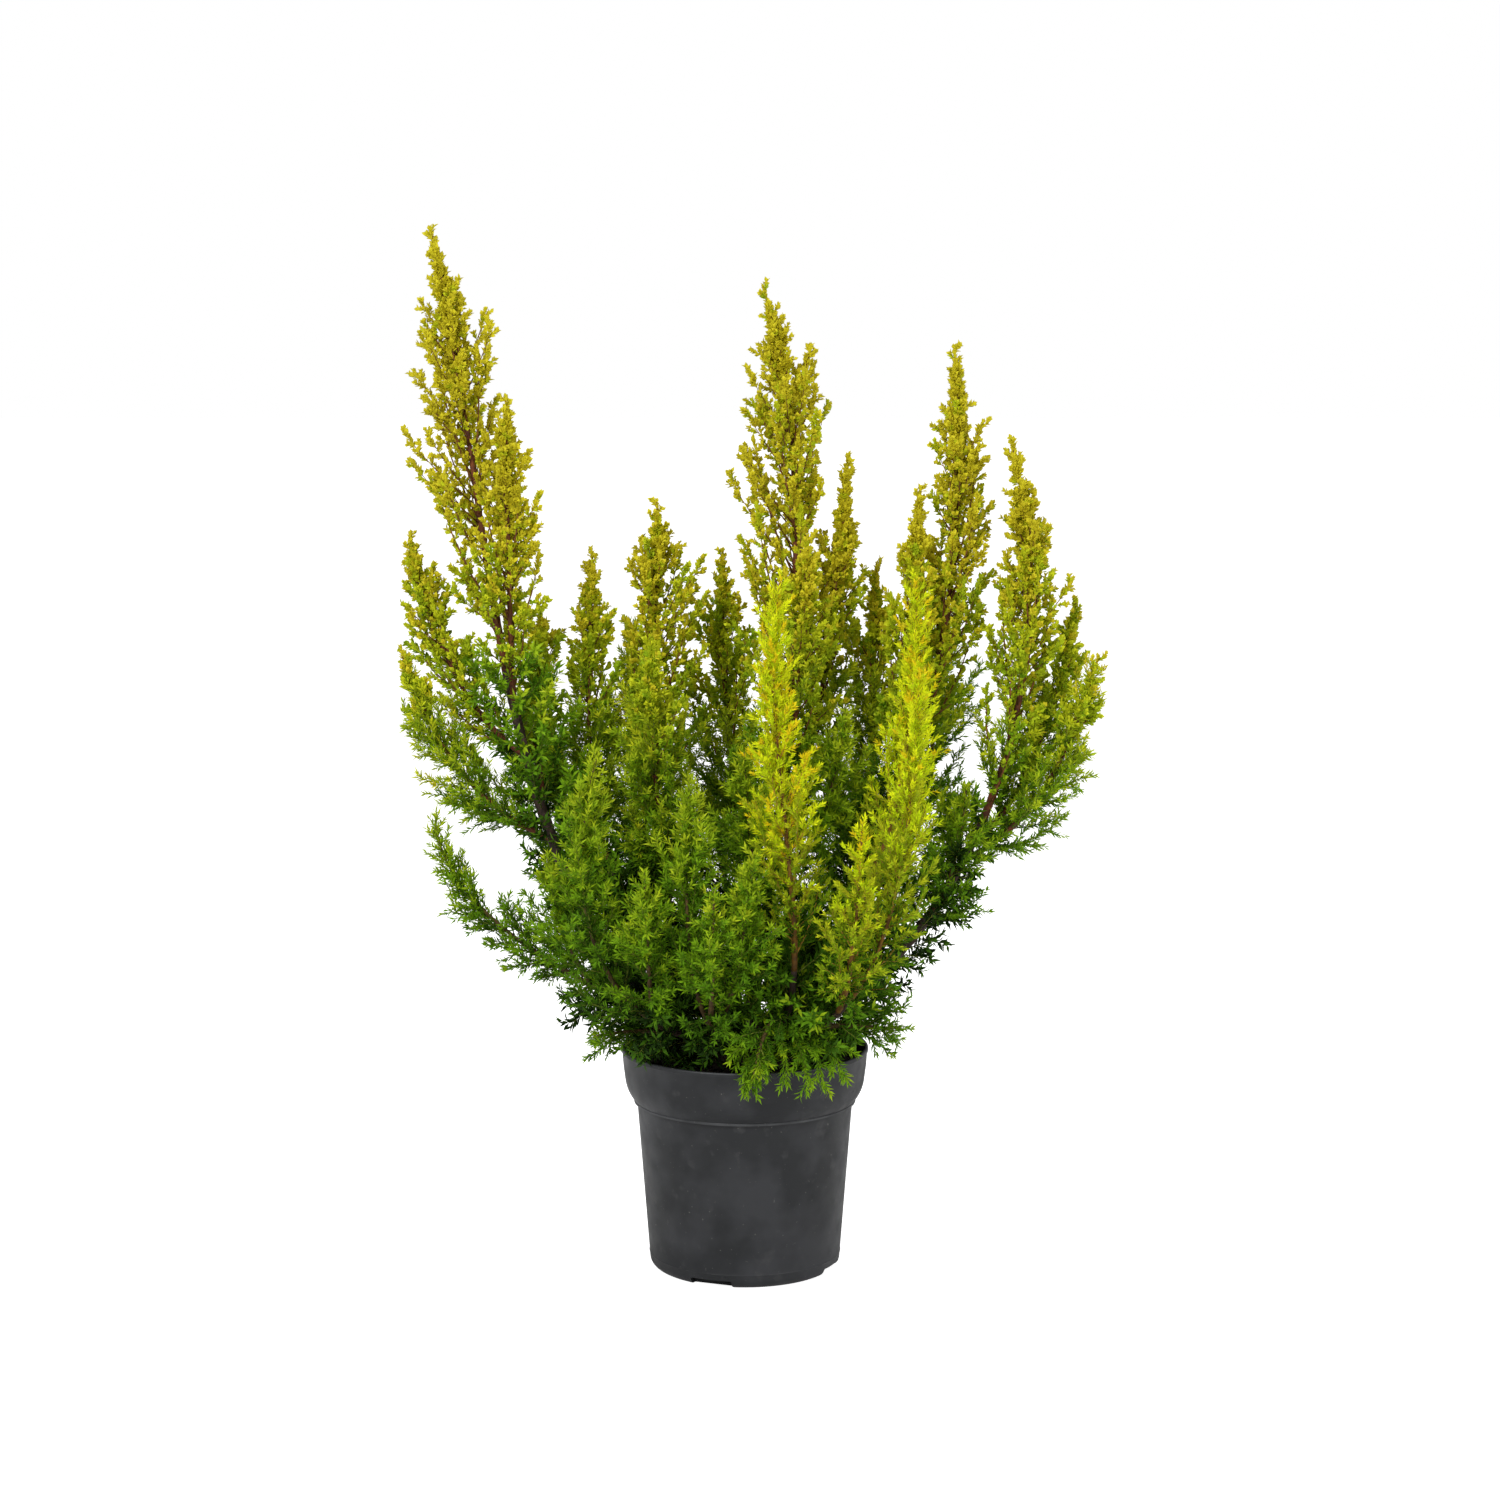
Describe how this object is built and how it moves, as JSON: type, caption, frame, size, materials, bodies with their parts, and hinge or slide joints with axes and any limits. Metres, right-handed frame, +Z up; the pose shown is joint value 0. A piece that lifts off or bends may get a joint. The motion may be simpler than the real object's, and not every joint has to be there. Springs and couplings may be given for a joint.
{
  "type": "potted tree heath",
  "caption": "Golden-leaved tree heath in a round plastic nursery pot: upright, feathery spires of fine needles on boughs that rise from a low rootstock.",
  "frame": {"origin": "middle of the pot's flat underside, on the surface that the pot stands on", "axes": "+Z up, -Y towards the side that the picture shows, +X to the right seen from that side"},
  "size_m": [0.5381, 0.3853, 0.7975],
  "materials": {
    "pot_plastic": "satin",
    "peat": "matte",
    "bark": "matte",
    "foliage_gold": "matte",
    "foliage_lime": "matte",
    "foliage_green": "matte"
  },
  "bodies": {
    "root": {"pot": "pot_plastic", "soil": "peat", "rootstock": "bark", "left_tall_bough": "bark", "left_low_bough": "bark", "left_thin_bough": "bark", "left_mid_bough": "bark", "left_front_bough": "bark", "front_left_bough": "bark", "centre_tall_bough": "bark", "front_gold_bough": "bark", "right_tall_bough": "bark", "right_gold_bough": "bark", "right_near_bough": "bark", "right_wide_bough": "bark", "back_left_bough": "bark", "back_mid_bough": "bark", "back_right_bough": "bark", "left_tall_foliage": "foliage_lime", "left_low_foliage": "foliage_green", "left_thin_foliage": "foliage_lime", "left_mid_foliage": "foliage_lime", "left_front_foliage": "foliage_green", "front_left_foliage": "foliage_green", "centre_tall_foliage": "foliage_lime", "front_gold_foliage": "foliage_gold", "right_tall_foliage": "foliage_lime", "right_gold_foliage": "foliage_gold", "right_near_foliage": "foliage_gold", "right_wide_foliage": "foliage_lime", "back_left_foliage": "foliage_green", "back_mid_foliage": "foliage_lime", "back_right_foliage": "foliage_green", "left_tall_low_foliage": "foliage_lime", "left_tall_outer_foliage": "foliage_lime", "left_tall_inner_foliage": "foliage_lime", "left_tall_front_foliage": "foliage_lime", "left_low_inner_foliage": "foliage_green", "left_thin_outer_foliage": "foliage_green", "left_mid_inner_foliage": "foliage_lime", "left_front_inner_foliage": "foliage_green", "left_front_hem_foliage": "foliage_green", "front_left_low_foliage": "foliage_green", "front_middle_foliage": "foliage_green", "front_hem_foliage": "foliage_green", "centre_near_foliage": "foliage_lime", "centre_front_foliage": "foliage_green", "centre_right_foliage": "foliage_green", "centre_back_foliage": "foliage_lime", "right_tall_inner_foliage": "foliage_lime", "right_tall_back_foliage": "foliage_lime", "right_near_low_foliage": "foliage_gold", "right_near_hem_foliage": "foliage_green", "right_wide_outer_foliage": "foliage_lime", "right_wide_back_foliage": "foliage_lime", "right_wide_low_foliage": "foliage_green", "back_left_outer_foliage": "foliage_green", "back_left_hem_foliage": "foliage_green", "back_mid_low_foliage": "foliage_green", "back_right_low_foliage": "foliage_green"}
  },
  "joints": []
}
